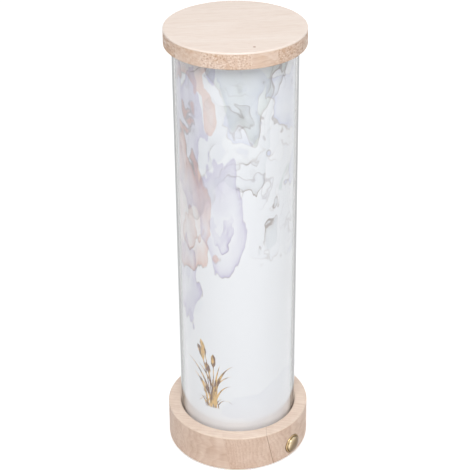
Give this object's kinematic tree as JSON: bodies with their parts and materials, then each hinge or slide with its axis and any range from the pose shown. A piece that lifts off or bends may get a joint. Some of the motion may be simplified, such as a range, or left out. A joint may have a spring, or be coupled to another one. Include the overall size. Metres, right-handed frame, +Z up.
{
  "type": "rotating motion lamp",
  "caption": "Night light with a printed shade that a geared motor turns inside a clear tube, between a wooden base with a push button and a lift-off wooden lid.",
  "frame": {"origin": "on the surface the lamp stands on, under the middle of its bounding box, which is the lamp's axis", "axes": "+Z up along the lamp's axis, -Y towards the front, power inlet at +Y"},
  "size_m": [0.098, 0.098, 0.3085],
  "materials": {
    "pale_wood": "fine-sanded pale hardwood with a clear satin seal",
    "clear_acrylic": "clear polished acrylic",
    "printed_film": "satin translucent white film with a soft printed wash",
    "polished_brass": "polished",
    "black_plastic": "fine moulded texture",
    "white_plastic": "moulded",
    "white_acetal": "moulded",
    "opal_plastic": "opal, extruded",
    "black_rubber": "matte",
    "post_aluminium": "drawn",
    "bright_steel": "plated",
    "zinc_steel": "zinc plated",
    "green_board": "solder resist",
    "white_board": "white solder resist",
    "light_chip": "phosphor",
    "dark_component": "moulded",
    "cell_wrap": "heat-shrunk film",
    "grey_foam": "foam",
    "red_wire": "insulated wire"
  },
  "bodies": {
    "base": {"base_body": "pale_wood", "bezel_nut": "bright_steel", "board_parts": "dark_component", "board_screws": "bright_steel", "bottom_cover": "black_plastic", "button_bezel": "polished_brass", "button_spring": "bright_steel", "cell_pad": "grey_foam", "centre_post": "post_aluminium", "clear_tube": "clear_acrylic", "column_cap": "white_plastic", "column_foot": "white_plastic", "control_board": "green_board", "cover_screws": "bright_steel", "deck_plate": "white_plastic", "deck_screws": "bright_steel", "diffuser_tube": "opal_plastic", "inlet_shell": "bright_steel", "inlet_tongue": "black_plastic", "inner_leads": "red_wire", "led_carrier": "post_aluminium", "led_chips": "light_chip", "led_strips": "white_board", "motor_case": "zinc_steel", "motor_screws": "bright_steel", "motor_wire_block": "black_plastic", "pivot_pin": "bright_steel", "post_screws": "bright_steel", "power_cell": "cell_wrap", "retaining_clip": "bright_steel", "rubber_feet": "black_rubber", "switch_housing": "black_plastic", "switch_terminals": "bright_steel", "thrust_washer": "white_acetal"},
    "shade": {"drive_gear": "white_acetal", "turntable": "white_plastic", "turntable_screws": "bright_steel", "shade_film": "printed_film", "top_spider": "white_plastic", "top_bush": "white_acetal"},
    "pinion": {"pinion_gear": "white_acetal", "motor_shaft": "bright_steel"},
    "button": {"button_cap": "polished_brass", "button_clip": "bright_steel", "switch_plunger": "white_acetal"},
    "lid": {"lid": "pale_wood"}
  },
  "joints": [
    {"name": "shade_spin", "type": "hinge", "parent": "base", "child": "shade", "pos_m": [0, 0, 0.025], "axis": [0, 0, 1], "continuous": true},
    {"name": "pinion_spin", "type": "hinge", "parent": "base", "child": "pinion", "pos_m": [-0.02175, -0.01014, 0.025], "axis": [0, 0, 1], "continuous": true},
    {"name": "button_press", "type": "slide", "parent": "base", "child": "button", "axis": [-0.7744, 0.6327, 0], "range_m": [0, 0.001], "stiffness_N_per_m": 1200, "springref_m": -0.0008, "deforming": ["button_spring"]},
    {"name": "lid_lift", "type": "slide", "parent": "base", "child": "lid", "axis": [0, 0, 1], "range_m": [0, 0.03]}
  ],
  "couplings": [
    {"joint": "pinion_spin", "follows": "shade_spin", "ratio": -3}
  ]
}
